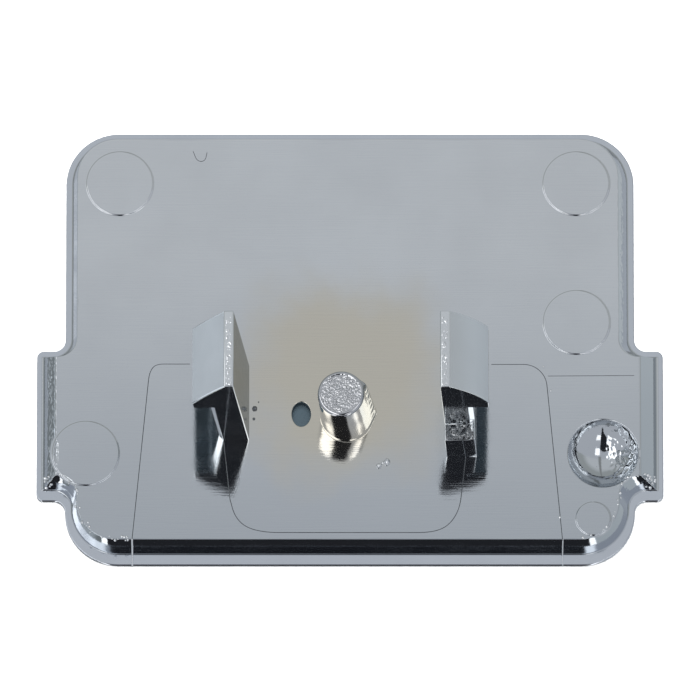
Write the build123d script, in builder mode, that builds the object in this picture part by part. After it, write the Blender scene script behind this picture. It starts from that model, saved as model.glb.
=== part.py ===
from build123d import *
import os

# Chrome-plated snap-in cover plate, moulded in plastic, lying on its front face.
# Millimetres.  The origin is the centre of the front face: +X runs along the cover's
# length, +Y away from the ears' end, and +Z out of the back, along the hooks.

# Body and ears
body_length = 42.7
body_width = 33.8
corner_radius = 4.0
ear_projection = 2.15
ear_length = 11.7
ear_setback = 5.0
ear_corner_radius = 0.5
ear_root_radius = 0.9
smallest_flat = 0.1

# Thin rim, and the raised pad with its drafted wall, moulded on a draw that leans towards -X
rim_thickness = 0.5
front_edge_radius = 0.2
rim_width = 0.5
rim_width_bottom = 0.85
pad_height = 2.1
wall_run = 0.52
ear_wall_extra = 0.55
pad_root_radius = 1.5
pad_edge_break = 0.12
draw_shift = -0.15

# Ejector marks, raised a little above the pad
mark_radius = 2.5
small_mark_radius = 1.3
mark_height = 0.06
mark_inset_side = 4.2
mark_inset_top = 4.55
mark_pitch = 10.9
ear_mark_inset = 3.85
small_mark_inset_side = 3.0
small_mark_inset_bottom = 3.0

# Spherical dimple and oval recess
dimple_radius = 2.7
dimple_depth = 1.6
dimple_inset = 4.4
dimple_setback = 3.1
recess_length = 1.95
recess_width = 1.45
recess_depth = 0.8
recess_offset = 3.5
recess_rise = 0.15

# Snap hooks, each with its lean in degrees, and the step at the right one's foot
left_lean = -4.5
right_lean = -2.3
hook_gap = 14.8
hook_width = 5.9
hook_setback = 9.1
stem_thickness = 2.25
hook_height = 14.0
grip_height = 8.6
nose_flat = 1.2
barb_reach = 1.2
ridge_width = 0.7
ridge_edge_radius = 0.12
nose_edge_radius = 0.15
stem_corner_chamfer = 0.35
left_lead_bulge = 0.08
right_lead_bulge = 0.35
root_clearance = 0.03
foot_depth = 1.3
foot_height = 4.4
foot_corner_length = 0.6
foot_corner_step = 0.12

# Centre peg
peg_lean = -4.2
peg_offset = -0.1
peg_height = 6.0
peg_base_radius = 1.95
peg_top_radius = 1.75
peg_edge_radius = 0.2
peg_setback = 11.0
flash_width = 1.4
flash_reach = 0.3
flash_height = 5.6
flash_angle = 15

# Levels and places that follow from the sizes above
body_top = body_width / 2
body_bottom = -body_width / 2
ear_bottom = body_bottom + ear_setback
ear_top = ear_bottom + ear_length
ear_edge = body_length / 2 + ear_projection
pad_top = rim_thickness + pad_height
feature_y = ear_bottom + dimple_setback
hook_front = body_bottom + hook_setback
hook_back = hook_front + hook_width
hinge_x = (hook_gap + stem_thickness) / 2
root_radius = stem_thickness / 2
peg_x = draw_shift + peg_offset
peg_y = body_bottom + peg_setback


def cover_outline(inset, bottom_inset, ear_inset, corner, root, ear_corner):
    """Face of the body with its two ears, inset from the cover's outer edge."""
    half = body_length / 2 - inset
    ear = ear_edge - ear_inset
    low, high = body_bottom + bottom_inset, body_top - inset
    ear_low, ear_high = ear_bottom + bottom_inset, ear_top - inset
    corner = min(corner, ear_low - low - 2 * smallest_flat)
    root = min(root, ear_low - low - corner - smallest_flat, ear - half - ear_corner - smallest_flat)
    right = [
        (half, low), (half, ear_low), (ear, ear_low), (ear, ear_high), (half, ear_high), (half, high),
    ]
    left = [(-x, y) for x, y in reversed(right)]
    radii = [corner, root, ear_corner, ear_corner, root, corner]
    with BuildLine() as outline:
        FilletPolyline(*right, *left, radius=radii + radii, close=True)
    make_face(outline.edges())


def foot_of(x, y, lean):
    """Plane through a point on the pad, square to an upright that leans towards +X by an angle."""
    return Plane((x, y, pad_top)).rotated((0, lean, 0))


def side_of(foot):
    """Upright plane through a foot, seen along Y, whose own y runs up the leaning upright."""
    return Plane(foot.origin, x_dir=foot.x_dir, z_dir=-foot.y_dir)


def hook_profile(side, lead_bulge):
    """Hook seen along Y: half-round root, stem, outward barb and sloping lead-in."""
    inner, outer = -side * root_radius, side * root_radius
    ridge = inner + side * ridge_width
    nose = outer + side * barb_reach
    nose_top = grip_height + nose_flat
    slope = Vector(nose - ridge, nose_top - hook_height)
    bulge = Vector(-slope.Y, slope.X).normalized() * side * lead_bulge
    with BuildLine() as outline:
        Polyline((inner, 0), (inner, hook_height), (ridge, hook_height))
        ThreePointArc((ridge, hook_height), Vector(ridge, hook_height) + slope / 2 + bulge, (nose, nose_top))
        Polyline((nose, nose_top), (nose, grip_height), (outer, grip_height), (outer, 0))
        ThreePointArc((outer, 0), (0, -root_radius), (inner, 0))
    make_face(outline.edges())


def foot_profile():
    """Step at a hook's foot seen along Y: the stem's own root and sides, but only so tall."""
    with BuildLine() as outline:
        Polyline(
            (-root_radius, 0), (-root_radius, foot_height), (root_radius, foot_height), (root_radius, 0)
        )
        ThreePointArc((root_radius, 0), (0, -root_radius), (-root_radius, 0))
    make_face(outline.edges())


def cut_corner(foot, side, end, length, step, low, high):
    """Slice an upright outer corner off a hook between two heights."""
    outer = side * root_radius
    with BuildSketch(foot.offset(low)) as corner:
        with BuildLine() as triangle:
            Polyline((outer, end), (outer - side * length, end), (outer, end + step), close=True)
        make_face(triangle.edges())
    extrude(corner.sketch, amount=high - low, mode=Mode.SUBTRACT)


def finish_hook(hook, foot, side, front_low):
    """Round the ridge and the nose, and cut away the stem's two outer corners."""
    across = hook.edges().filter_by(Axis.Y)
    fillet(across.sort_by(Axis.X, reverse=side > 0)[:2], nose_edge_radius)
    fillet(hook.edges().filter_by(Axis.Y).sort_by(Axis.Z)[-2:], ridge_edge_radius)
    cut = stem_corner_chamfer
    cut_corner(foot, side, -hook_width, cut, cut, front_low, grip_height)
    cut_corner(foot, side, 0, cut, -cut, 0, grip_height)


# Front skin: the visible face of the cover, its rim and its ears
with BuildPart() as face_plate:
    with BuildSketch():
        cover_outline(0, 0, 0, corner_radius, ear_root_radius, ear_corner_radius)
    extrude(amount=rim_thickness)
    fillet(face_plate.faces().sort_by(Axis.Z)[0].edges(), front_edge_radius)

# Raised pad: drafted wall with a broken top edge, the dimple, the recess and the hooks' seats
with BuildPart() as raised_pad:
    with BuildSketch(Plane.XY.offset(rim_thickness)):
        cover_outline(
            rim_width, rim_width_bottom, rim_width,
            corner_radius - rim_width, ear_root_radius + rim_width, 0,
        )
    for level, inset in ((pad_top - pad_edge_break, wall_run), (pad_top, wall_run + pad_edge_break)):
        step_aside = draw_shift * (level - rim_thickness) / pad_height
        with BuildSketch(Plane((step_aside, 0, level))):
            cover_outline(
                rim_width + inset, rim_width_bottom + inset, rim_width + inset + ear_wall_extra,
                corner_radius - rim_width - inset, pad_root_radius, 0,
            )
    loft(ruled=True)
    ball_radius = (dimple_radius**2 + dimple_depth**2) / (2 * dimple_depth)
    dimple_x = ear_edge - dimple_inset + draw_shift
    with Locations((dimple_x, feature_y, pad_top - dimple_depth + ball_radius)):
        Sphere(ball_radius, mode=Mode.SUBTRACT)
    with BuildSketch(Plane.XY.offset(pad_top)):
        with Locations((draw_shift - recess_offset, peg_y + recess_rise)):
            Ellipse(recess_width / 2, recess_length / 2)
    extrude(amount=-recess_depth, mode=Mode.SUBTRACT)
    for hinge, front in ((draw_shift - hinge_x, hook_front), (draw_shift + hinge_x, hook_front - foot_depth)):
        seat_length = hook_back - front + 2 * root_clearance
        with Locations(Location((hinge, (front + hook_back) / 2, pad_top), (90, 0, 0))):
            Cylinder(root_radius + root_clearance, seat_length, mode=Mode.SUBTRACT)

# Witness discs left by the ejector pins, standing just proud of the pad
with BuildPart() as ejector_marks:
    with BuildSketch(Plane((draw_shift, 0, pad_top))):
        with Locations(
            (-body_length / 2 + mark_inset_side, body_top - mark_inset_top),
            (body_length / 2 - mark_inset_side, body_top - mark_inset_top),
            (body_length / 2 - mark_inset_side, body_top - mark_inset_top - mark_pitch),
            (-ear_edge + ear_mark_inset, feature_y),
        ):
            Circle(mark_radius)
        with Locations((body_length / 2 - small_mark_inset_side, body_bottom + small_mark_inset_bottom)):
            Circle(small_mark_radius)
    extrude(amount=mark_height)

# Peg: drafted round post with a rounded end and a moulding flash down one side
with BuildPart() as centre_peg:
    peg_foot = foot_of(peg_x, peg_y, peg_lean)
    below = -pad_height / 4
    with Locations(peg_foot.location):
        Cone(peg_base_radius, peg_top_radius, peg_height, align=(Align.CENTER, Align.CENTER, Align.MIN))
        Cylinder(peg_base_radius, -below, align=(Align.CENTER, Align.CENTER, Align.MAX))
    fillet(centre_peg.edges().sort_by(Axis.Z)[-1], peg_edge_radius)
    flash_tip = peg_base_radius + flash_reach
    with BuildSketch(peg_foot.offset(below)):
        Polygon(
            (peg_base_radius / 2, -flash_width / 2), (flash_tip, 0), (peg_base_radius / 2, flash_width / 2),
            rotation=flash_angle, align=None,
        )
    extrude(amount=flash_height - below)
    split(bisect_by=Plane.XY.offset(pad_top), keep=Keep.TOP)

# The two snap hooks, each a flexing leg with its barb facing outwards
with BuildPart() as left_snap_hook:
    left_foot = foot_of(draw_shift - hinge_x, hook_back, left_lean)
    with BuildSketch(side_of(left_foot)):
        hook_profile(-1, left_lead_bulge)
    extrude(amount=hook_width)
    finish_hook(left_snap_hook, left_foot, -1, 0)

with BuildPart() as right_snap_hook:
    right_foot = foot_of(draw_shift + hinge_x, hook_back, right_lean)
    right_side = side_of(right_foot)
    with BuildSketch(right_side):
        hook_profile(1, right_lead_bulge)
    extrude(amount=hook_width)
    finish_hook(right_snap_hook, right_foot, 1, foot_height)
    with BuildSketch(right_side.offset(hook_width)):
        foot_profile()
    extrude(amount=foot_depth)
    foot_front = -hook_width - foot_depth
    cut_corner(right_foot, 1, foot_front, foot_corner_length, foot_corner_step, 0, foot_height)

pieces = {
    "face_plate": face_plate,
    "raised_pad": raised_pad,
    "ejector_marks": ejector_marks,
    "centre_peg": centre_peg,
    "left_snap_hook": left_snap_hook,
    "right_snap_hook": right_snap_hook,
}
os.makedirs("parts", exist_ok=True)
for name, piece in pieces.items():
    piece.part.label = name
    export_step(piece.part, f"parts/{name}.step")
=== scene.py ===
import bpy
import bmesh
import math
import random
from mathutils import Matrix, Vector, geometry, noise


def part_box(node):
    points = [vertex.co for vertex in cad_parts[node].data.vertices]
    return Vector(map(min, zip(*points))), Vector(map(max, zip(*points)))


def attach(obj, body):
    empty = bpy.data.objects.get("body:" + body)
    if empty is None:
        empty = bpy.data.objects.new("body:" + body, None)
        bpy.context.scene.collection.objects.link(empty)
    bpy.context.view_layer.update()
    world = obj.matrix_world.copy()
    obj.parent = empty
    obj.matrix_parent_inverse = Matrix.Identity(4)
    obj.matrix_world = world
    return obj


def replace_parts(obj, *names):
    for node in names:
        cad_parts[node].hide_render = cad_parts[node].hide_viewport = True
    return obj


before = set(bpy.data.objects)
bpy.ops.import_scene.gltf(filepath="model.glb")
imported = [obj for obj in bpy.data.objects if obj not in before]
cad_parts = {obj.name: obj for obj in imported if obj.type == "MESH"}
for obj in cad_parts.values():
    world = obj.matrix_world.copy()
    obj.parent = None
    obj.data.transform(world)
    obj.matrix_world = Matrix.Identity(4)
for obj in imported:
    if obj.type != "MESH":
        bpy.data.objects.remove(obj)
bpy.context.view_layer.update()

# Lengths below are in millimetres in the CAD's own frame; MM turns them into metres.
MM = 0.001
COVER = "cover"

plate_low, plate_high = (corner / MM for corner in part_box("face_plate"))
pad_low, pad_high = (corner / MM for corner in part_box("raised_pad"))
marks_low, marks_high = (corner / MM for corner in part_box("ejector_marks"))
peg_low, peg_high = (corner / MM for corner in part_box("centre_peg"))
hook_low, hook_high = (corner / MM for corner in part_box("left_snap_hook"))

# Outline of the cover: body, ears and their radii
EAR_PROJECTION = 2.15
EAR_LENGTH = 11.7
EAR_SETBACK = 5.0
CORNER_RADIUS = 4.0
EAR_ROOT_RADIUS = 0.9
EAR_CORNER_RADIUS = 0.5
SHARP_RADIUS = 0.04
DRAW_SHIFT = -0.15
RIM_WIDTH = pad_low.x - plate_low.x
RIM_WIDTH_BOTTOM = pad_low.y - plate_low.y
WALL_RUN = 0.52
EAR_WALL_RUN = 1.07
PAD_ROOT_RADIUS = 1.5
RIM_Z = plate_high.z
PAD_Z = pad_high.z
MARK_HEIGHT = marks_high.z - PAD_Z

body_half = plate_high.x - EAR_PROJECTION
body_low, body_high = plate_low.y, plate_high.y
ear_low = body_low + EAR_SETBACK
ear_high = ear_low + EAR_LENGTH
ear_edge = plate_high.x

# Ejector marks: (x, y, radius) of each
MARK_RADIUS = 2.5
SMALL_MARK_RADIUS = 1.3
MARK_INSET = 4.2
MARK_PITCH = 10.9
SMALL_MARK_INSET = 3.0
FEATURE_SETBACK = 3.1
mark_left = marks_low.x + MARK_RADIUS
mark_right = body_half - MARK_INSET + DRAW_SHIFT
mark_top = marks_high.y - MARK_RADIUS
feature_y = ear_low + FEATURE_SETBACK
MARKS = [
    (-body_half + MARK_INSET + DRAW_SHIFT, mark_top, MARK_RADIUS),
    (mark_right, mark_top, MARK_RADIUS),
    (mark_right, mark_top - MARK_PITCH, MARK_RADIUS),
    (mark_left, feature_y, MARK_RADIUS),
    (body_half - SMALL_MARK_INSET + DRAW_SHIFT, body_low + SMALL_MARK_INSET, SMALL_MARK_RADIUS),
]

# Dimple, peg, and the oval recess with its half length in X, half length in Y and depth
DIMPLE_RADIUS = 2.68
DIMPLE_DEPTH = 1.6
DIMPLE_INSET = 4.4
dimple = Vector((ear_edge - DIMPLE_INSET + DRAW_SHIFT, feature_y))
PEG_OFFSET = 0.1
PEG_HEIGHT = 6.0
PEG_LEAN = math.radians(-4.2)
peg = Vector((DRAW_SHIFT - PEG_OFFSET, (peg_low.y + peg_high.y) / 2))
RECESS = (0.725, 0.975, 0.8)
RECESS_OFFSET, RECESS_RISE = 3.5, 0.15
recess = Vector((-RECESS_OFFSET + DRAW_SHIFT, peg.y + RECESS_RISE))

# Hooks: hinge place and lean of each, and the sizes of their tops and of the right one's foot
HINGE_X = 8.525
HOOK_LEAN = {"left": math.radians(-4.5), "right": math.radians(-2.3)}
STEM_HALF = 1.125
HOOK_HEIGHT = 14.0
RIDGE_WIDTH = 0.7
FOOT_DEPTH, FOOT_HEIGHT = 1.3, 4.4
RIDGE_MARGIN, FOOT_MARGIN = 0.06, 0.05
hook_front, hook_back = hook_low.y, hook_high.y


# ---------------------------------------------------------------- mesh helpers

def linked(name, data):
    """New object in the scene for a mesh, a light or a camera."""
    obj = bpy.data.objects.new(name, data)
    bpy.context.scene.collection.objects.link(obj)
    return obj


def shade_smooth(mesh, smooth=True):
    mesh.polygons.foreach_set("use_smooth", [smooth] * len(mesh.polygons))


def add_object(name, verts, faces, material, smooth=True):
    """New mesh object from points in millimetres."""
    mesh = bpy.data.meshes.new(name)
    mesh.from_pydata([Vector(v) * MM for v in verts], [], faces)
    mesh.validate()
    shade_smooth(mesh, smooth)
    mesh.materials.append(material)
    return linked(name, mesh)


def cleaned(obj):
    """The object with its loose points gone and its faces all turned outwards."""
    work = bmesh.new()
    work.from_mesh(obj.data)
    loose = [v for v in work.verts if not v.link_faces]
    bmesh.ops.delete(work, geom=loose, context="VERTS")
    bmesh.ops.recalc_face_normals(work, faces=work.faces)
    work.to_mesh(obj.data)
    work.free()
    return obj


def tube_faces(start, stations, around):
    """Faces of a closed tube whose points follow each other from start, ring by ring."""
    faces = []
    for k in range(stations - 1):
        a, b = start + around * k, start + around * (k + 1)
        for j in range(around):
            i = (j + 1) % around
            faces.append((a + j, b + j, b + i, a + i))
    end = start + around * (stations - 1)
    faces.append(tuple(start + j for j in range(around)))
    faces.append(tuple(end + j for j in reversed(range(around))))
    return faces


def rounded_loop(corners, radii, arc_steps, run_steps):
    """Points round a polygon with filleted corners, always the same number of them."""
    starts, ends, arcs = [], [], []
    count = len(corners)
    for i, corner in enumerate(corners):
        p = Vector(corner)
        u = (Vector(corners[i - 1]) - p).normalized()
        v = (Vector(corners[(i + 1) % count]) - p).normalized()
        half = u.angle(v) / 2
        reach = radii[i] / math.tan(half)
        centre = p + (u + v).normalized() * radii[i] / math.sin(half)
        first, last = p + u * reach, p + v * reach
        a, b = first - centre, last - centre
        turn = a.angle_signed(b)
        arc = []
        for k in range(arc_steps + 1):
            spin = Matrix.Rotation(-turn * k / arc_steps, 2)
            arc.append(centre + spin @ a)
        arcs.append(arc)
        starts.append(first)
        ends.append(last)
    points = []
    for i in range(count):
        points.extend(arcs[i])
        a, b = arcs[i][-1], arcs[(i + 1) % count][0]
        points.extend(a.lerp(b, k / run_steps[i]) for k in range(1, run_steps[i]))
    return points


def cover_loop(inset, bottom_inset, ear_inset, corner, root, ear_corner, arc_steps=14, pitch=0.2):
    """One turn round the cover, inset from its outer edge."""
    half = body_half - inset
    ear = ear_edge - ear_inset
    low, high = body_low + bottom_inset, body_high - inset
    e_low, e_high = ear_low + bottom_inset, ear_high - inset
    right = [(half, low), (half, e_low), (ear, e_low), (ear, e_high), (half, e_high), (half, high)]
    left = [(-x, y) for x, y in reversed(right)]
    radii = [corner, root, ear_corner, ear_corner, root, corner]
    lengths = [0.6, 1.5, EAR_LENGTH, 1.5, body_high - ear_high, 2 * body_half]
    steps = [max(2, round(length / pitch)) for length in lengths]
    run_steps = steps[:5] + [steps[5]] + steps[4::-1] + [steps[5]]
    return rounded_loop(right + left, radii * 2, arc_steps, run_steps)


def bridge(rings):
    """Quads between loops that have the same number of points."""
    n = len(rings[0])
    faces = []
    for r in range(len(rings) - 1):
        for i in range(n):
            j = (i + 1) % n
            faces.append((r * n + i, r * n + j, (r + 1) * n + j, (r + 1) * n + i))
    return faces


def smoothstep(a, b, x):
    t = min(1.0, max(0.0, (x - a) / (b - a)))
    return t * t * (3 - 2 * t)


def leaned(x, z, foot_x, lean):
    """Point x across and z up a leaning upright whose foot is on the pad."""
    return foot_x + x * math.cos(lean) + z * math.sin(lean), PAD_Z + z * math.cos(lean) - x * math.sin(lean)


def hook_point(side, x, y, z):
    """Point on a hook: x outwards from its hinge, y along it and z up its stem."""
    sign = -1 if side == "left" else 1
    wx, wz = leaned(sign * x, z, sign * HINGE_X + DRAW_SHIFT, HOOK_LEAN[side])
    return wx, y, wz


def lumps(seed, x, y, z, size):
    """Nodular plating: rounded grains of about the given size, from 0 to 1."""
    p = Vector((x, y, z)) / size
    near = noise.voronoi(p + Vector((seed * 17.3, 0, 0)))[0][0]
    return max(0.0, 1 - near * 1.3) ** 1.5


# ---------------------------------------------------------------- materials

def chrome(name, tint, roughness, line_strength=0.0, grain_strength=0.0, grain_pitch=0.15, reflection_patch=None,
           front_shade_fade=None, gloss_spread=1.0):
    """Mirror plating: slow stains in its colour, uneven gloss, tool lines and fine grain; on request also a
    painted reflection patch and a painted shade fade.
    """
    material = bpy.data.materials.new(name)
    material.use_nodes = True
    nodes, links = material.node_tree.nodes, material.node_tree.links
    shader = nodes["Principled BSDF"]
    shader.inputs["Metallic"].default_value = 1.0
    place = nodes.new("ShaderNodeTexCoord").outputs["Object"]

    def texture(pitch, detail=3.0, stretch=1.0):
        """Noise whose grains are pitch millimetres across Y, and stretch times that along X."""
        mapping = nodes.new("ShaderNodeMapping")
        size = 1 / (pitch * MM)
        mapping.inputs["Scale"].default_value = (size / stretch, size, size)
        links.new(place, mapping.inputs["Vector"])
        noise_node = nodes.new("ShaderNodeTexNoise")
        noise_node.inputs["Scale"].default_value = 1.0
        noise_node.inputs["Detail"].default_value = detail
        links.new(mapping.outputs["Vector"], noise_node.inputs["Vector"])
        return noise_node.outputs["Fac"]

    def ramp(source, low, high, first, last):
        node = nodes.new("ShaderNodeMapRange")
        node.inputs["From Min"].default_value, node.inputs["From Max"].default_value = low, high
        node.inputs["To Min"].default_value, node.inputs["To Max"].default_value = first, last
        links.new(source, node.inputs["Value"])
        return node.outputs["Result"]

    def mix(factor, first, second):
        node = nodes.new("ShaderNodeMix")
        node.data_type = "RGBA"
        links.new(factor, node.inputs["Factor"])
        for socket, value in ((node.inputs["A"], first), (node.inputs["B"], second)):
            if isinstance(value, bpy.types.NodeSocket):
                links.new(value, socket)
            else:
                socket.default_value = (*value, 1)
        return node.outputs["Result"]

    darker = tuple(0.955 * c for c in tint)
    colour = mix(ramp(texture(6.0), 0.35, 0.65, 0, 1), darker, tint)
    # Painted shade: the colour turns darker and bluer towards the front edge (low Y)
    if front_shade_fade is not None:
        split = nodes.new("ShaderNodeSeparateXYZ")
        links.new(place, split.inputs[0])
        colour = mix(ramp(split.outputs["Y"], front_shade_fade[0] * MM, front_shade_fade[1] * MM, 1, 0), colour, front_shade_fade[2])
    # Painted reflection: a warm beige patch round the peg, mixed into the mirror's own colour
    if reflection_patch is not None:
        centre, reach, reflection_tint = reflection_patch
        offset = nodes.new("ShaderNodeMapping")
        offset.vector_type = "TEXTURE"
        offset.inputs["Location"].default_value = Vector((*centre, PAD_Z)) * MM
        offset.inputs["Scale"].default_value = Vector((*reach, 30)) * MM
        links.new(place, offset.inputs["Vector"])
        length = nodes.new("ShaderNodeVectorMath")
        length.operation = "LENGTH"
        links.new(offset.outputs["Vector"], length.inputs[0])
        wobble = nodes.new("ShaderNodeMath")
        wobble.operation = "MULTIPLY_ADD"
        links.new(ramp(texture(3.5), 0.3, 0.7, -0.12, 0.12), wobble.inputs[0])
        wobble.inputs[1].default_value = 1.0
        links.new(length.outputs["Value"], wobble.inputs[2])
        fade = nodes.new("ShaderNodeMapRange")
        fade.interpolation_type = "SMOOTHSTEP"
        fade.inputs["From Min"].default_value, fade.inputs["From Max"].default_value = 0.45, 1.15
        fade.inputs["To Min"].default_value, fade.inputs["To Max"].default_value = 1.0, 0.0
        links.new(wobble.outputs["Value"], fade.inputs["Value"])
        colour = mix(fade.outputs["Result"], colour, reflection_tint)
    links.new(colour, shader.inputs["Base Color"])
    glossy, dull = roughness * (1 - 0.4 * gloss_spread), roughness * (1 + 0.5 * gloss_spread)
    links.new(ramp(texture(1.3, 5.0, 3.0), 0.3, 0.7, glossy, dull), shader.inputs["Roughness"])
    height = None
    for strength, source in (
        (line_strength, (0.09, 2.0, 40.0)),
        (grain_strength, (grain_pitch, 4.0, 1.0)),
    ):
        if not strength:
            continue
        bump = nodes.new("ShaderNodeBump")
        bump.inputs["Strength"].default_value = strength
        bump.inputs["Distance"].default_value = 0.02 * MM
        links.new(texture(*source), bump.inputs["Height"])
        if height is not None:
            links.new(height, bump.inputs["Normal"])
        height = bump.outputs["Normal"]
    if height is not None:
        links.new(height, shader.inputs["Normal"])
    return material


def unplated(name, darker, lighter):
    """Bare plastic, faintly mottled."""
    material = bpy.data.materials.new(name)
    material.use_nodes = True
    nodes, links = material.node_tree.nodes, material.node_tree.links
    mottle = nodes.new("ShaderNodeTexNoise")
    mottle.inputs["Scale"].default_value = 4000
    ramp = nodes.new("ShaderNodeValToRGB")
    for element, colour in zip(ramp.color_ramp.elements, (darker, lighter)):
        element.color = (*colour, 1)
    links.new(mottle.outputs["Fac"], ramp.inputs["Fac"])
    links.new(ramp.outputs["Color"], nodes["Principled BSDF"].inputs["Base Color"])
    return material


# Pad colour carries a painted warm reflection patch round the peg and painted shade towards the front edge
pad_chrome = chrome(
    "pad_chrome", (0.70, 0.725, 0.75), 0.06, line_strength=0.12, grain_strength=0.05,
    reflection_patch=((-0.4, -3.0), (9.5, 9.0), (0.665, 0.63, 0.545)), front_shade_fade=(-17.0, 6.0, (0.535, 0.57, 0.605)),
)
# Recess floor: bare unplated plastic, made dark blue-grey so it is also painted shade of the hollow
bare_plastic_and_shade = unplated("bare_plastic_and_shade", (0.030, 0.046, 0.058), (0.045, 0.065, 0.078))
plate_chrome = chrome("plate_chrome", (0.65, 0.685, 0.74), 0.09, grain_strength=0.05)
hook_chrome = chrome("hook_chrome", (0.76, 0.79, 0.81), 0.09, grain_strength=0.05, grain_pitch=0.3)
peg_chrome = chrome("peg_chrome", (0.80, 0.80, 0.80), 0.05, grain_strength=0.03)
# Painted shade: dark, duller chrome for the hooks' downward faces under the barbs
underside_shade_chrome = chrome("underside_shade_chrome", (0.14, 0.17, 0.19), 0.22, grain_strength=0.1)
satin_chrome = chrome(
    "satin_chrome", (0.79, 0.82, 0.85), 0.42, grain_strength=0.15, grain_pitch=0.12, gloss_spread=0.15
)
end_chrome = chrome("end_chrome", (0.56, 0.57, 0.59), 0.06, grain_strength=0.1, grain_pitch=0.05)
ledge_chrome = chrome("ledge_chrome", (0.22, 0.23, 0.24), 0.12, grain_strength=0.1, grain_pitch=0.08)
seam_chrome = chrome("seam_chrome", (0.33, 0.34, 0.35), 0.25, grain_strength=0.1, grain_pitch=0.08)
grain_chrome = chrome("grain_chrome", (0.82, 0.84, 0.86), 0.12, grain_strength=0.1, grain_pitch=0.05)


# ---------------------------------------------------------------- cover plate

def make_plate():
    """Thin skin: flat polished front, rounded front edge, upright edge and flat rim."""
    front_radius, back_radius = 0.2, 0.05
    front_steps, back_steps = 6, 4
    rings = []

    def ring(inset, z):
        root = EAR_ROOT_RADIUS + inset
        rings.append([(*p, z) for p in cover_loop(
            inset, inset, inset, CORNER_RADIUS - inset, root, max(SHARP_RADIUS, EAR_CORNER_RADIUS - inset)
        )])

    # A narrow flat band inside each rounded edge keeps the big flat faces flat in their shading
    ring(front_radius + 0.1, 0.0)
    for k in range(front_steps + 1):
        a = math.pi / 2 * k / front_steps
        ring(front_radius * (1 - math.sin(a)), front_radius * (1 - math.cos(a)))
    for k in range(back_steps + 1):
        a = math.pi / 2 * k / back_steps
        ring(back_radius * (1 - math.cos(a)), RIM_Z - back_radius * (1 - math.sin(a)))
    ring(back_radius + 0.03, RIM_Z)
    verts = [v for r in rings for v in r]
    faces = bridge(rings)
    n = len(rings[0])
    faces.append(tuple(reversed(range(n))))
    faces.append(tuple(range(len(verts) - n, len(verts))))
    return add_object("cover_skin", verts, faces, plate_chrome)


# ---------------------------------------------------------------- raised pad

# Sinks where the plastic shrank over the left hook, the right hook and the peg: (x, reach in X, depth)
SINKS = ((-8.7, 3.2, 0.012), (8.4, 3.2, 0.012), (peg.x, 2.6, 0.010))
SINK_REACH_Y = 3.4
MARK_EDGE = 0.05


def recess_distance(x, y):
    """How far out of the oval recess a point is: 1 on its edge."""
    return math.hypot((x - recess.x) / RECESS[0], (y - recess.y) / RECESS[1])


def surface_height(x, y):
    """Height of the pad's top at a point, in millimetres above its flat."""
    h = 0.0
    for mx, my, radius in MARKS:
        away = math.hypot(x - mx, y - my)
        h += MARK_HEIGHT * smoothstep(radius + MARK_EDGE, radius - MARK_EDGE, away)
    d = math.hypot(x - dimple.x, y - dimple.y)
    ball = (DIMPLE_RADIUS**2 + DIMPLE_DEPTH**2) / (2 * DIMPLE_DEPTH)
    if d < DIMPLE_RADIUS:
        # Spherical hollow, its outer side rough with grains
        h -= math.sqrt(ball**2 - d**2) - (ball - DIMPLE_DEPTH)
        side = smoothstep(-0.2, 1.4, x - dimple.x) * smoothstep(DIMPLE_RADIUS, DIMPLE_RADIUS - 0.3, d)
        h += 0.10 * side * lumps(5, x, y, h, 0.34)
    h -= RECESS[2] * smoothstep(1.0, 0.955, recess_distance(x, y))
    for cx, reach, drop in SINKS:
        h -= drop * math.exp(-(((x - cx) / reach) ** 2) - ((y - peg.y) / SINK_REACH_Y) ** 2)
    # Slow waves and faint orange peel
    h += 0.006 * noise.noise(Vector((x, y, 0)) / 5.0) + 0.0012 * noise.noise(Vector((x, y, 4)) / 1.1)
    return h


def pad_wall_point(t):
    """Insets of the wall at t: 0 at its foot, 1 at the pad's own outline."""
    return dict(
        inset=RIM_WIDTH + t * WALL_RUN,
        bottom_inset=RIM_WIDTH_BOTTOM + t * WALL_RUN,
        ear_inset=RIM_WIDTH + t * EAR_WALL_RUN,
        corner=CORNER_RADIUS - RIM_WIDTH - t * WALL_RUN,
        root=(1 - t) * (EAR_ROOT_RADIUS + RIM_WIDTH) + t * PAD_ROOT_RADIUS,
        ear_corner=SHARP_RADIUS,
    )


def wall_profile():
    """(t, height) stations up the wall: foot fillet, straight draft, rounded top edge."""
    height = PAD_Z - RIM_Z
    foot, shoulder, top = 0.05, 0.93, 1.09
    foot_steps, wall_steps, edge_steps = 4, 14, 8
    sunk, spread = (-0.16, -0.05), -0.14
    stations = [sunk]
    for k in range(foot_steps + 1):
        s = k / foot_steps
        t = (1 - s) ** 2 * spread + s**2 * foot
        stations.append((t, height * s**2 * foot))
    for k in range(1, wall_steps):
        t = foot + (shoulder - foot) * k / wall_steps
        stations.append((t, height * t))
    for k in range(edge_steps + 1):
        s = k / edge_steps
        t = (1 - s) ** 2 * shoulder + 2 * s * (1 - s) * 1.0 + s**2 * top
        z = height * ((1 - s) ** 2 * shoulder + 2 * s * (1 - s) + s**2)
        stations.append((t, z))
    return stations


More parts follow.
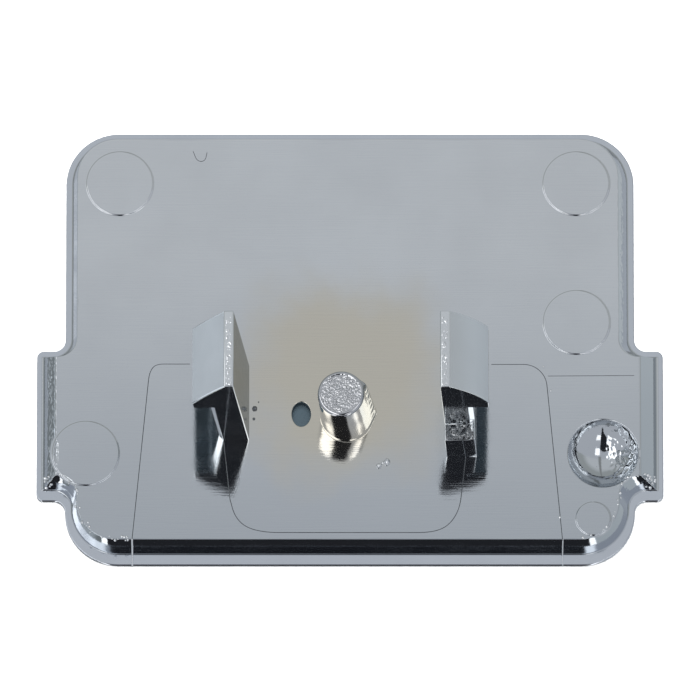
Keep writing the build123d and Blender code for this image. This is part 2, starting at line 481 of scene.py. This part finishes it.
def rough_wall(x, y, z):
    """How far nodular plating stands out of the wall at a point."""
    up = (z - RIM_Z) / (PAD_Z - RIM_Z)
    left_ear = smoothstep(-ear_edge + 2.2, -ear_edge + 1.2, x) * smoothstep(ear_low, ear_low + 1.2, y)
    right_side = smoothstep(body_half - 1.6, body_half - 1.0, x) * smoothstep(ear_high, ear_high + 1, y)
    corners = smoothstep(ear_low + 1.8, ear_low + 0.8, y) * smoothstep(ear_low - 0.4, ear_low, y)
    corners *= smoothstep(body_half - 1.0, body_half, abs(x))
    amount = 0.05 * left_ear + 0.035 * right_side + 0.08 * corners
    return amount * smoothstep(0.1, 0.4, up) * lumps(2, x, y, z, 0.3)


def circle(cx, cy, rx, ry, count):
    """Points round an ellipse."""
    turn = 2 * math.pi / count
    return [(cx + rx * math.cos(k * turn), cy + ry * math.sin(k * turn)) for k in range(count)]


def make_pad():
    """Drafted wall with its rough patches, and the top with all its features, as one closed mesh."""
    rings = []
    for t, z in wall_profile():
        aside = DRAW_SHIFT * max(0, z) / (PAD_Z - RIM_Z)
        rings.append([
            (p.x + aside, p.y, RIM_Z + z) for p in cover_loop(**pad_wall_point(t), pitch=0.14)
        ])
    n = len(rings[0])
    verts = [v for r in rings for v in r]
    faces = bridge(rings)
    faces.append(tuple(reversed(range(n))))
    for i, (x, y, z) in enumerate(verts):
        bump = rough_wall(x, y, z)
        if bump:
            out = Vector((x, y - peg.y, 0)).normalized()
            verts[i] = (x + out.x * bump, y + out.y * bump, z + 0.3 * bump)
    edge = rings[-1]

    # Flat top: every feature's own loops, and a grid between them
    points = [Vector(p[:2]) for p in edge]
    loops = [(0, n)]

    def loop(path):
        loops.append((len(points), len(path)))
        points.extend(Vector(p) for p in path)

    mark_points, dimple_points, recess_points = 120, 140, 64
    for t in (1.14, 1.3):
        loop([(p.x + DRAW_SHIFT, p.y) for p in cover_loop(**pad_wall_point(t), pitch=0.2)])
    for mx, my, radius in MARKS:
        for step in (0.18, 0.1, 0.06, 0.035, 0.012, -0.012, -0.035, -0.06, -0.1, -0.18):
            loop(circle(mx, my, radius + step, radius + step, mark_points))
    dimple_rings = 40
    for k in range(dimple_rings):
        radius = DIMPLE_RADIUS * (1 - k / dimple_rings)
        count = max(10, round(dimple_points * (1 - k / (dimple_rings + 2))))
        loop(circle(*dimple, radius, radius, count))
    for wider in (0.03, 0.07, 0.15):
        loop(circle(*dimple, DIMPLE_RADIUS + wider, DIMPLE_RADIUS + wider, dimple_points))
    for scale in (1.16, 1.06, 1.0, 0.985, 0.97, 0.955, 0.93):
        loop(circle(*recess, RECESS[0] * scale, RECESS[1] * scale, recess_points))
    constraints = [(s + k, s + (k + 1) % c) for s, c in loops for k in range(c)]
    pitch, aside_x, aside_y = 0.5, 0.013, 0.007
    y = body_low
    while y < body_high:
        x = -ear_edge
        while x < ear_edge:
            points.append(Vector((x + aside_x, y + aside_y)))
            x += pitch
        y += pitch
    out_verts, _, out_faces, _, _, _ = geometry.delaunay_2d_cdt(
        points, constraints, [list(range(n))], 1, 1e-5
    )

    # The top's outer points are the wall's last ring, so the two join up
    start = len(verts)
    where = {}
    for i, p in enumerate(edge):
        where[(round(p[0], 4), round(p[1], 4))] = start - n + i
    index = []
    for p in out_verts:
        key = (round(p.x, 4), round(p.y, 4))
        if key in where:
            index.append(where[key])
        else:
            index.append(len(verts))
            verts.append((p.x, p.y, PAD_Z + surface_height(p.x, p.y)))
    faces.extend(tuple(index[k] for k in face) for face in out_faces)
    pad = add_object("pad_skin", verts, faces, pad_chrome)
    pad.data.materials.append(bare_plastic_and_shade)
    # The oval recess takes the dark bare plastic, partly painted shade inside the hollow
    for polygon in pad.data.polygons:
        centre = polygon.center / MM
        if recess_distance(centre.x, centre.y) < 1.0 and centre.z > RIM_Z + 0.5:
            polygon.material_index = 1
    return cleaned(pad)


# ---------------------------------------------------------------- hooks and peg

def refined(node, name, material, width, segments):
    """Copy of a hook's CAD node with its facets merged and its edges rounded like moulded plastic."""
    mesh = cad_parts[node].data.copy()
    mesh.materials.clear()
    work = bmesh.new()
    work.from_mesh(mesh)
    bmesh.ops.remove_doubles(work, verts=work.verts, dist=0.0005 * MM)
    bmesh.ops.dissolve_limit(
        work, angle_limit=math.radians(0.6), verts=work.verts, edges=work.edges
    )
    sharp = [e for e in work.edges if len(e.link_faces) == 2 and e.calc_face_angle() > math.radians(25)]
    bmesh.ops.bevel(
        work, geom=sharp, offset=width * MM, segments=segments, profile=0.5,
        affect="EDGES", clamp_overlap=True,
    )
    work.to_mesh(mesh)
    work.free()
    mesh.name = name
    for each in (material, underside_shade_chrome, satin_chrome):
        mesh.materials.append(each)
    smallest_lead_in = 0.1 * MM**2
    above_foot = (PAD_Z + 4) * MM
    for polygon in mesh.polygons:
        turn = polygon.normal
        if 0.2 < turn.z < 0.8 and abs(turn.x) > 0.5 and polygon.area > smallest_lead_in:
            polygon.material_index = 2
        # Faces pointing down above the foot take the dark chrome as painted shade
        if turn.z < -0.8 and polygon.center.z > above_foot:
            polygon.material_index = 1
    shade_smooth(mesh)
    obj = linked(name, mesh)
    weights = obj.modifiers.new("even_shading", "WEIGHTED_NORMAL")
    weights.keep_sharp = True
    weights.weight = 100
    return obj


def make_peg():
    """Drafted post: moulding flash down one side, rounded edge, granular end."""
    around, up, edge_steps = 192, 44, 6
    base, top, edge = 1.95, 1.75, 0.2
    height = PEG_HEIGHT
    flash_at = math.radians(15)

    def flash(angle, z):
        """Radial growth of the flash, wandering a little as it climbs."""
        s = z / height
        centre = flash_at + math.radians(16) * (s - 0.4) + 0.12 * noise.noise(Vector((0, 0, z * 1.4)))
        width = 0.30 - 0.12 * s
        off = (angle - centre + math.pi) % (2 * math.pi) - math.pi
        crest = 0.27 + 0.07 * noise.noise(Vector((3, 0, z * 2.2)))
        return crest * math.exp(-((off / width) ** 2)) * smoothstep(1.0, 0.93, s)

    profile = [(base, -0.4)]
    straight = height - edge
    for k in range(up + 1):
        z = straight * k / up
        foot = 0.10 * (1 - smoothstep(0, 0.35, z))
        profile.append((base + (top - base) * z / height + foot * 0.6, z))
    for k in range(1, edge_steps + 1):
        a = math.pi / 2 * k / edge_steps
        profile.append((top - edge * (1 - math.cos(a)), straight + edge * math.sin(a)))
    verts, rings = [], []
    for radius, z in profile:
        ring = []
        for k in range(around):
            angle = 2 * math.pi * k / around
            r = radius + flash(angle, max(0, z))
            r += 0.012 * noise.noise(Vector((math.cos(angle) * 1.6, math.sin(angle) * 1.6, z * 0.5)))
            ring.append((r * math.cos(angle), r * math.sin(angle), z))
        rings.append(ring)
    inner = top - edge
    turns = 44
    for k in range(1, turns):
        radius = inner * (1 - k / turns)
        ring = []
        for j in range(around):
            angle = 2 * math.pi * j / around
            x, y = radius * math.cos(angle), radius * math.sin(angle)
            grain = 0.075 * lumps(7, x, y, 0, 0.15) + 0.04 * lumps(8, x, y, 0, 0.09) - 0.04
            grain *= smoothstep(inner, inner - 0.12, radius)
            ring.append((x, y, height + min(0.04, grain)))
        rings.append(ring)
    for r in rings:
        for x, y, z in r:
            wx, wz = leaned(x, z, peg.x, PEG_LEAN)
            verts.append((wx, peg.y + y, wz))
    faces = bridge(rings)
    last = len(verts) - around
    faces.append(tuple(range(last, last + around)))
    faces.append(tuple(reversed(range(around))))
    post = add_object("peg_skin", verts, faces, peg_chrome)
    post.data.materials.append(end_chrome)
    for polygon in post.data.polygons:
        if polygon.center.z > (peg_high.z - 0.35) * MM:
            polygon.material_index = 1
    return post


def grain_patch(name, place, width, length, height, size, seed, pitch, material):
    """Closed strip of plating grains; place(u, v, h) puts a point of it on its surface."""
    nu, nv = max(4, round(width / pitch)), max(4, round(length / pitch))
    verts, faces = [], []
    for i in range(nu + 1):
        for j in range(nv + 1):
            u, v = width * i / nu, length * j / nv
            border = min(u, width - u, v, length - v)
            grain = 0.6 * lumps(seed, u, v, 0, size) + 0.4 * lumps(seed + 1, u, v, 0, size * 0.55)
            verts.append(place(u, v, -0.02 + height * grain * smoothstep(0, 0.12, border)))
    top = len(verts)
    rim = [(i, 0) for i in range(nu)] + [(nu, j) for j in range(nv)]
    rim += [(i, nv) for i in range(nu, 0, -1)] + [(0, j) for j in range(nv, 0, -1)]
    for i, j in rim:
        verts.append(place(width * i / nu, length * j / nv, -0.08))
    for i in range(nu):
        for j in range(nv):
            a = i * (nv + 1) + j
            faces.append((a, a + nv + 1, a + nv + 2, a + 1))
    count = len(rim)
    for k in range(count):
        (i, j), (m, n) = rim[k], rim[(k + 1) % count]
        faces.append((i * (nv + 1) + j, top + k, top + (k + 1) % count, m * (nv + 1) + n))
    faces.append(tuple(top + k for k in range(count)))
    return cleaned(add_object(name, verts, faces, material))


def make_nodules():
    """Blobs of plating where the metal has built up, each a lumpy ball half sunk in its surface."""
    chance = random.Random(11)
    # (x, y, z, radius) of each; the first few, by the left hook, are tarnished
    tarnished = 3
    spots = [
        (-7.13, -5.32, PAD_Z + 0.09, 0.18), (-7.20, -6.12, PAD_Z + 0.05, 0.10), (-6.85, -4.8, PAD_Z, 0.06),
        (2.18, -9.80, PAD_Z + 0.12, 0.20), (2.78, -9.50, PAD_Z + 0.13, 0.24), (2.45, -9.55, PAD_Z, 0.12),
        (15.04, -3.93, PAD_Z, 0.10), (14.5, -2.05, PAD_Z, 0.08), (15.7, -13.8, PAD_Z, 0.09),
    ]
    edge = [p for p in cover_loop(**pad_wall_point(1.06), pitch=0.14) if p.y < ear_low + 1.4]
    for side, nearest, share in ((-1, 16.4, 0.75), (1, 17.4, 0.5)):
        for p in edge:
            if side * p.x > nearest and abs(p.x) < ear_edge - 1.7 and chance.random() < share:
                out = chance.uniform(-0.12, 0.22)
                x, y = p.x * (1 - out / abs(p.x)) + DRAW_SHIFT, p.y + out
                spots.append((x, y, PAD_Z - 0.02, chance.uniform(0.05, 0.13)))
        for _ in range(18):
            x = side * (ear_edge - chance.uniform(0.62, 1.5))
            y = ear_low + 0.85 + chance.uniform(0.0, 0.35)
            up = chance.uniform(0.15, 0.9)
            spots.append((x, y + 0.45 * up, RIM_Z + 1.9 * up, chance.uniform(0.06, 0.14)))
    joined = bmesh.new()
    for number, (x, y, z, radius) in enumerate(spots):
        ball = bmesh.ops.create_icosphere(joined, subdivisions=3, radius=1.0)
        stretch = Vector((chance.uniform(0.85, 1.15), chance.uniform(0.85, 1.2), chance.uniform(0.7, 0.95)))
        for v in ball["verts"]:
            swell = 1 + 0.22 * noise.noise(v.co * 1.7 + Vector((number * 3.1, 0, 0)))
            p = Vector(a * b for a, b in zip(v.co * swell * radius, stretch))
            v.co = (Vector((x, y, z)) + p) * MM
        for face in {f for v in ball["verts"] for f in v.link_faces}:
            face.material_index = 1 if number < tarnished else 0
    mesh = bpy.data.meshes.new("nodules")
    joined.to_mesh(mesh)
    joined.free()
    shade_smooth(mesh)
    mesh.materials.append(grain_chrome)
    mesh.materials.append(ledge_chrome)
    return linked("nodules", mesh)


def softened(path, radius, steps=6):
    """Polyline with its corners rounded off."""
    points = [Vector(path[0])]
    for a, b, c in zip(path, path[1:], path[2:]):
        a, b, c = Vector(a), Vector(b), Vector(c)
        first = b + (a - b).normalized() * min(radius, (a - b).length / 2)
        last = b + (c - b).normalized() * min(radius, (c - b).length / 2)
        for k in range(steps + 1):
            t = k / steps
            points.append(first * (1 - t) ** 2 + b * 2 * t * (1 - t) + last * t * t)
    points.append(Vector(path[-1]))
    return points


def seam_strip(name, seams, material):
    """Fine raised lines on the pad, each given by its path, corner radius and half width."""
    verts, faces = [], []
    for path, radius, half in seams:
        points = softened(path, radius)
        dense = []
        for a, b in zip(points, points[1:]):
            n = max(1, round((b - a).length / 0.25))
            dense.extend(a.lerp(b, k / n) for k in range(n))
        dense.append(points[-1])
        start = len(verts)
        for k, p in enumerate(dense):
            ahead = dense[min(k + 1, len(dense) - 1)] - dense[max(k - 1, 0)]
            across = Vector((-ahead.y, ahead.x)).normalized()
            grow = 1 + 0.3 * noise.noise(Vector((p.x, p.y, 0)) * 1.3)
            level = PAD_Z + surface_height(p.x, p.y)
            for side, h in ((-1, -0.03), (-0.9, 0.004), (0, 0.042 * grow), (0.9, 0.004), (1, -0.03)):
                q = p + across * side * half
                verts.append((q.x, q.y, level + h))
        faces.extend(tube_faces(start, len(dense), 5))
    return add_object(name, verts, faces, material, smooth=False)


def make_witness_lines():
    """Seams left by the mould's inserts, duller or brighter, and one curved scratch."""
    dull = [
        ([(-12.0, -1.82), (-14.6, -1.82), (-15.05, -2.5), (-16.3, -15.5)], 0.6, 0.030),
        ([(10.6, -1.85), (13.7, -1.85), (14.7, -2.8), (15.9, -15.6)], 0.7, 0.030),
        ([(14.85, -2.76), (21.3, -2.72)], 0.1, 0.022),
        ([(-8.98, -12.4), (-8.62, -13.75), (-7.75, -14.62), (-6.25, -14.98), (6.1, -14.98), (7.35, -14.5),
          (8.2, -13.2), (8.75, -8.4)], 0.9, 0.034),
        ([(-11.8, 14.9), (-11.5, 14.1), (-10.9, 14.1), (-10.75, 14.8)], 0.4, 0.025),
    ]
    bright = [([(-9.45, -7.95), (-8.98, -12.4)], 0.1, 0.034)]

    # The two side seams carry on down the bottom wall and across the rim
    verts, faces = [], []
    around = 12
    wall_foot = body_low + RIM_WIDTH_BOTTOM
    for x, half in ((-16.3, 0.07), (15.92, 0.045)):
        start = len(verts)
        path = [
            (wall_foot + WALL_RUN + 0.1, PAD_Z - 0.01), (wall_foot + WALL_RUN, PAD_Z), (wall_foot, RIM_Z),
            (body_low + 0.02, RIM_Z), (body_low - 0.005, 0.25),
        ]
        for y, z in path:
            for j in range(around):
                a = 2 * math.pi * j / around
                out = half * math.sin(a) - half * 0.3
                verts.append((x + half * math.cos(a), y - out, z + 0.6 * out))
        faces.extend(tube_faces(start, len(path), around))
    return (
        seam_strip("witness_lines", dull, ledge_chrome),
        seam_strip("bright_seams", bright, seam_chrome),
        add_object("wall_seams", verts, faces, grain_chrome),
    )


# ---------------------------------------------------------------- stage

def world_light():
    """Light tent as the mirror plating sees it: soft grey roof, white panels, dark camera side."""
    world = bpy.data.worlds.new("light_tent")
    bpy.context.scene.world = world
    world.use_nodes = True
    nodes, links = world.node_tree.nodes, world.node_tree.links
    background = nodes["Background"]
    direction = nodes.new("ShaderNodeTexCoord").outputs["Generated"]
    split = nodes.new("ShaderNodeSeparateXYZ")
    links.new(direction, split.inputs[0])

    def math_node(operation, *values, clamp=False):
        node = nodes.new("ShaderNodeMath")
        node.operation = operation
        node.use_clamp = clamp
        for socket, value in zip(node.inputs, values):
            if isinstance(value, bpy.types.NodeSocket):
                links.new(value, socket)
            else:
                socket.default_value = value
        return node.outputs[0]

    def step(value, low, high):
        node = nodes.new("ShaderNodeMapRange")
        node.interpolation_type = "SMOOTHSTEP"
        node.inputs["From Min"].default_value = low
        node.inputs["From Max"].default_value = high
        links.new(value, node.inputs["Value"])
        return node.outputs["Result"]

    def both(*values):
        result = values[0]
        for value in values[1:]:
            result = math_node("MULTIPLY", result, value)
        return result

    def paint(base, factor, colour):
        node = nodes.new("ShaderNodeMix")
        node.data_type = "RGBA"
        links.new(factor, node.inputs["Factor"])
        if isinstance(base, bpy.types.NodeSocket):
            links.new(base, node.inputs["A"])
        else:
            node.inputs["A"].default_value = (*base, 1)
        if isinstance(colour, bpy.types.NodeSocket):
            links.new(colour, node.inputs["B"])
        else:
            node.inputs["B"].default_value = (*colour, 1)
        return node.outputs["Result"]

    x, y, z = split.outputs
    rise = math_node("MAXIMUM", math_node("ABSOLUTE", z), 0.05)
    dark, panel = (0.022, 0.023, 0.027), (1.8, 1.8, 1.8)
    # Place on the tent's roof, in units of its height: u to the right, v away from the camera
    u = math_node("DIVIDE", x, rise)
    v = math_node("DIVIDE", y, rise)
    colour = paint((0.62, 0.64, 0.66), step(rise, 0.72, 0.45), (0.40, 0.42, 0.42))
    colour = paint(colour, step(v, 0.36, 0.20), (0.54, 0.56, 0.60))
    dull = both(step(u, 0.06, 0.12), step(u, 0.26, 0.20), step(v, 0.10, 0.20))
    colour = paint(colour, dull, (0.30, 0.31, 0.31))
    left = both(
        step(math_node("MULTIPLY_ADD", v, 0.13, u), -0.24, -0.30), step(u, -0.70, -0.60),
        step(v, -0.75, -0.55), step(v, 0.33, 0.26),
    )
    strip = both(step(u, -0.34, -0.38), step(u, -0.60, -0.54), step(v, -1.5, -1.3), step(v, -0.5, -0.6))
    colour = paint(colour, left, (2.2, 2.2, 2.2))
    colour = paint(colour, strip, panel)
    right = both(step(u, 0.14, 0.18), step(u, 0.50, 0.40), step(v, -1.4, -1.3), step(v, -0.75, -0.85))
    colour = paint(colour, right, panel)
    patch = both(step(u, 0.15, 0.19), step(u, 0.42, 0.38), step(v, -0.29, -0.25), step(v, 0.10, 0.06))
    colour = paint(colour, patch, (2.0, 2.0, 2.0))
    across = math_node("ADD", u, 0.06)
    away = math_node("ADD", v, 0.30)
    squares = (math_node("POWER", across, 2.0), math_node("POWER", away, 2.0))
    radius = math_node("SQRT", math_node("ADD", *squares))
    colour = paint(colour, step(radius, 0.23, 0.19), dark)
    body = both(
        step(math_node("MULTIPLY_ADD", v, 0.10, u), -0.34, -0.31), step(u, 0.16, 0.12), step(v, -0.3, -0.36),
    )
    colour = paint(colour, body, dark)
    # Below the horizon: grey table, with the dark camera side and a white strip either side of it
    down = math_node("MULTIPLY", z, -1.0)
    low = paint((0.22, 0.24, 0.25), step(x, -0.3, 0.3), (0.50, 0.54, 0.57))
    low = paint(low, both(step(down, 0.67, 0.71), step(x, -0.4, -0.5)), (0.45, 0.49, 0.52))
    low = paint(
        low, both(step(down, 0.28, 0.38), step(down, 0.60, 0.54), step(x, -0.48, -0.58)), (0.88, 0.95, 1.02)
    )
    near = math_node("MAXIMUM", math_node("MULTIPLY", y, -1.0), 0.05)
    sideways = math_node("ABSOLUTE", math_node("DIVIDE", x, near))
    front = step(y, -0.10, -0.25)
    low = paint(low, both(front, step(sideways, 0.62, 0.58)), panel)
    low = paint(low, both(front, step(sideways, 0.36, 0.33)), dark)
    colour = paint(colour, step(down, 0.0, 0.04), low)
    links.new(colour, background.inputs["Color"])
    background.inputs["Strength"].default_value = 1.0


def make_stage():
    """Pale floor and a pale backdrop round it; the plating reflects the tent, not these."""
    floor = bpy.data.materials.new("pale_floor")
    floor.use_nodes = True
    shader = floor.node_tree.nodes["Principled BSDF"]
    shader.inputs["Base Color"].default_value = (0.86, 0.86, 0.86, 1)
    shader.inputs["Roughness"].default_value = 0.9
    reach = 2400.0
    ring = 64
    verts, faces = [], []
    profile = ((1, 0), (1.25, 0.08), (1.35, 0.35), (1.35, 1))
    just_below = 0.02
    for out, rise in profile:
        for k in range(ring):
            a = 2 * math.pi * k / ring
            radius = reach * out
            verts.append((radius * math.cos(a), radius * math.sin(a), reach * rise - just_below))
    faces.append(tuple(range(ring)))
    for r in range(len(profile) - 1):
        for k in range(ring):
            j = (k + 1) % ring
            faces.append((r * ring + k, (r + 1) * ring + k, (r + 1) * ring + j, r * ring + j))
    stage = add_object("floor", verts, faces, floor)
    stage.visible_glossy = False
    lamp = bpy.data.lights.new("roof_light", "AREA")
    lamp.shape = "DISK"
    lamp.size = 0.5
    lamp.energy = 9.0
    holder = linked("roof_light", lamp)
    holder.location = Vector((0, 60, 620)) * MM
    holder.visible_glossy = False


def make_camera():
    """Looks down on the back, tilted a little towards the ears' end, from well away."""
    towards = Vector((0.0, -0.289, 0.957)).normalized()
    right = (Vector((1, 0, 0)) - towards * towards.x).normalized()
    up = towards.cross(right)
    target = Vector((0.0, -0.72, PAD_Z))
    distance, frame_width = 1500.0, 52.5
    camera = bpy.data.cameras.new("camera")
    camera.sensor_width = 36.0
    camera.lens = camera.sensor_width * distance / frame_width
    camera.clip_start, camera.clip_end = 0.01, 20.0
    holder = linked("camera", camera)
    turn = Matrix((right, up, towards)).transposed().to_4x4()
    holder.matrix_world = Matrix.Translation((target + towards * distance) * MM) @ turn
    bpy.context.scene.camera = holder


bpy.context.scene.view_settings.view_transform = "Standard"
make_camera()
world_light()
make_stage()

plate = make_plate()
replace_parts(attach(plate, COVER), "face_plate")

pad = make_pad()
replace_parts(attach(pad, COVER), "raised_pad", "ejector_marks")

for side in ("left", "right"):
    body = f"{side}_hook"
    leg = refined(f"{side}_snap_hook", f"{side}_hook_skin", hook_chrome, width=0.13, segments=5)
    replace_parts(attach(leg, body), f"{side}_snap_hook")

    def on_ridge(u, v, h, side=side):
        across, along = -STEM_HALF + RIDGE_MARGIN + u, hook_front + RIDGE_MARGIN + v
        return hook_point(side, across, along, HOOK_HEIGHT + h)

    ridge = grain_patch(
        f"{side}_ridge_grain", on_ridge, RIDGE_WIDTH - 2 * RIDGE_MARGIN,
        hook_back - hook_front - 2 * RIDGE_MARGIN, height=0.085, size=0.2, seed=21, pitch=0.06,
        material=grain_chrome,
    )
    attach(ridge, body)


def on_foot(u, v, h):
    across, along = -STEM_HALF + FOOT_MARGIN + u, hook_front - FOOT_DEPTH + FOOT_MARGIN + v
    return hook_point("right", across, along, FOOT_HEIGHT + h)


ledge = grain_patch(
    "foot_grain", on_foot, 2 * STEM_HALF - 2 * FOOT_MARGIN, FOOT_DEPTH - FOOT_MARGIN,
    height=0.34, size=0.42, seed=31, pitch=0.05, material=ledge_chrome,
)
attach(ledge, "right_hook")

post = make_peg()
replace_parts(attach(post, COVER), "centre_peg")

for extra in (make_nodules(), *make_witness_lines()):
    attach(extra, COVER)
